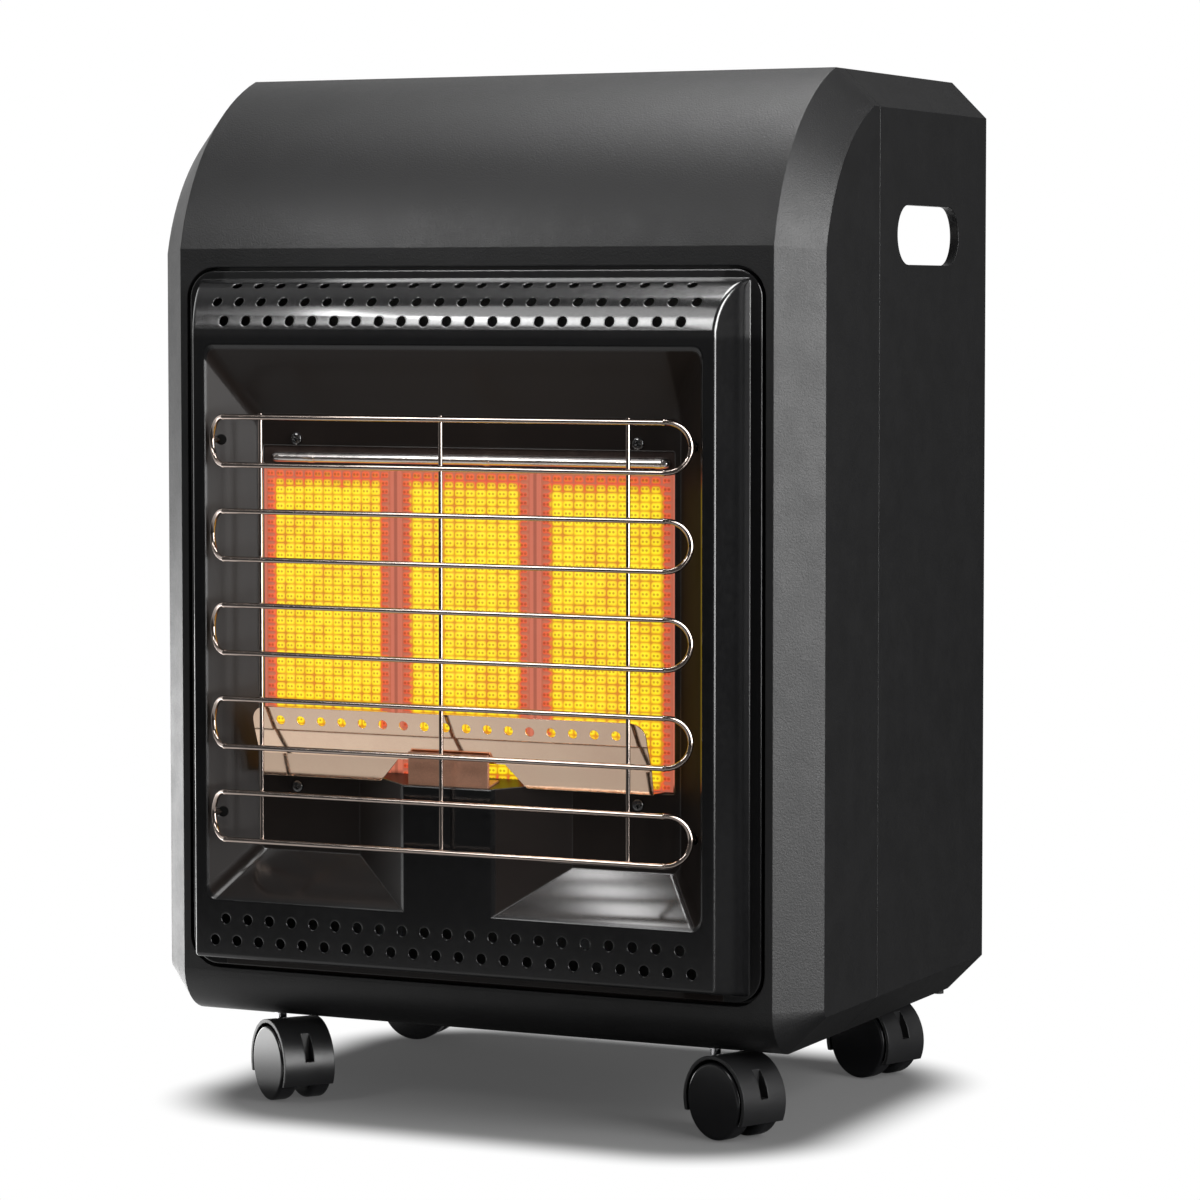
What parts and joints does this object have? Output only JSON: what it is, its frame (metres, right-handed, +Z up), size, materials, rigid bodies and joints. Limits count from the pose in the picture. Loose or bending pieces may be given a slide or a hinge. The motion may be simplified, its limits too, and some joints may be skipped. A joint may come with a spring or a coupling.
{
  "type": "portable gas heater",
  "caption": "Cabinet heater on casters: chamfered sheet shell with a curved brow, enamelled front, glowing ceramic burners behind a wire guard, sunk top controls.",
  "frame": {"origin": "on the floor, under the middle of the bounding box", "axes": "+Z up, the burners face -Y, +X is to the right seen from the front"},
  "size_m": [0.458, 0.3398, 0.654],
  "materials": {
    "powder_coat": "satin, fine texture",
    "enamel": "high gloss enamel",
    "plated_steel": "zinc plated",
    "glowing_ceramic": "perforated, glowing when lit",
    "fibre_gasket": "compressed fibre",
    "heated_steel": "heat-tinted",
    "bright_steel": "mirror",
    "copper_steel": "heat-tinted, polished",
    "brass": "machined",
    "white_ceramic": "glazed",
    "aluminium_tube": "drawn",
    "silicone_lead": "matte",
    "black_plastic": "fine grain",
    "red_plastic": "gloss",
    "black_screw": "black oxide",
    "chromed_wire": "bright chrome",
    "black_rubber": "matte",
    "caster_nylon": "satin",
    "caster_gloss": "gloss"
  },
  "bodies": {
    "chassis": {"base_pan": "plated_steel", "burner_box_centre": "plated_steel", "burner_box_left": "plated_steel", "burner_box_right": "plated_steel", "burner_frame": "heated_steel", "burner_plaque_centre": "glowing_ceramic", "burner_plaque_left": "glowing_ceramic", "burner_plaque_right": "glowing_ceramic", "burner_top_rail": "bright_steel", "caster_nuts": "plated_steel", "caster_stems": "chromed_wire", "control_panel": "black_plastic", "deflector": "bright_steel", "dial_plate": "bright_steel", "front_panel": "enamel", "front_shell": "powder_coat", "gas_jets": "brass", "gas_manifold": "aluminium_tube", "gas_valve": "aluminium_tube", "guard_loops": "chromed_wire", "guard_uprights": "chromed_wire", "heat_shield": "plated_steel", "igniter_electrode": "white_ceramic", "ignition_lead": "silicone_lead", "inlet_fitting": "brass", "knob_spring": "plated_steel", "manifold_bracket": "plated_steel", "panel_nuts": "plated_steel", "panel_screws": "black_screw", "piezo_body": "black_plastic", "piezo_spring": "plated_steel", "pilot_burner": "brass", "pilot_shield": "copper_steel", "pilot_tube": "aluminium_tube", "plaque_gaskets": "fibre_gasket", "rear_bumpers": "black_rubber", "rear_shell": "powder_coat", "shell_screws": "black_screw", "supply_tube": "aluminium_tube", "thermocouple": "copper_steel", "tip_switch": "black_plastic"},
    "spindle": {"valve_spindle": "brass"},
    "knob": {"control_knob": "black_plastic"},
    "button": {"piezo_button": "red_plastic"},
    "caster_fl": {"caster_hood_fl": "caster_nylon"},
    "wheels_fl": {"caster_wheels_fl": "caster_gloss", "caster_axle_fl": "plated_steel"},
    "caster_fr": {"caster_hood_fr": "caster_nylon"},
    "wheels_fr": {"caster_wheels_fr": "caster_gloss", "caster_axle_fr": "plated_steel"},
    "caster_rl": {"caster_hood_rl": "caster_nylon"},
    "wheels_rl": {"caster_wheels_rl": "caster_gloss", "caster_axle_rl": "plated_steel"},
    "caster_rr": {"caster_hood_rr": "caster_nylon"},
    "wheels_rr": {"caster_wheels_rr": "caster_gloss", "caster_axle_rr": "plated_steel"}
  },
  "joints": [
    {"name": "knob_turn", "type": "hinge", "parent": "chassis", "child": "spindle", "pos_m": [-0.04, 0.11295, 0.626], "axis": [0, 0, 1], "range_deg": [0, 225]},
    {"name": "knob_push", "type": "slide", "parent": "spindle", "child": "knob", "axis": [0, 0, -1], "range_m": [0, 0.0035], "stiffness_N_per_m": 300, "springref_m": -0.002, "deforming": ["knob_spring"]},
    {"name": "button_push", "type": "slide", "parent": "chassis", "child": "button", "axis": [0, 0, -1], "range_m": [0, 0.006], "stiffness_N_per_m": 200, "springref_m": -0.003, "deforming": ["piezo_spring"]},
    {"name": "swivel_fl", "type": "hinge", "parent": "chassis", "child": "caster_fl", "pos_m": [-0.1529, -0.09485, 0.045], "axis": [0, 0, 1], "continuous": true},
    {"name": "roll_fl", "type": "hinge", "parent": "caster_fl", "child": "wheels_fl", "pos_m": [-0.13904, -0.10537, 0.02385], "axis": [-0.6046, -0.7965, 0], "continuous": true},
    {"name": "swivel_fr", "type": "hinge", "parent": "chassis", "child": "caster_fr", "pos_m": [0.1529, -0.09485, 0.045], "axis": [0, 0, 1], "continuous": true},
    {"name": "roll_fr", "type": "hinge", "parent": "caster_fr", "child": "wheels_fr", "pos_m": [0.16868, -0.10218, 0.02385], "axis": [-0.421, -0.907, 0], "continuous": true},
    {"name": "swivel_rl", "type": "hinge", "parent": "chassis", "child": "caster_rl", "pos_m": [-0.1529, 0.13575, 0.045], "axis": [0, 0, 1], "continuous": true},
    {"name": "roll_rl", "type": "hinge", "parent": "caster_rl", "child": "wheels_rl", "pos_m": [-0.17017, 0.13363, 0.02385], "axis": [-0.1219, 0.9925, 0], "continuous": true},
    {"name": "swivel_rr", "type": "hinge", "parent": "chassis", "child": "caster_rr", "pos_m": [0.1529, 0.13575, 0.045], "axis": [0, 0, 1], "continuous": true},
    {"name": "roll_rr", "type": "hinge", "parent": "caster_rr", "child": "wheels_rr", "pos_m": [0.16912, 0.12946, 0.02385], "axis": [-0.3616, -0.9323, 0], "continuous": true}
  ]
}
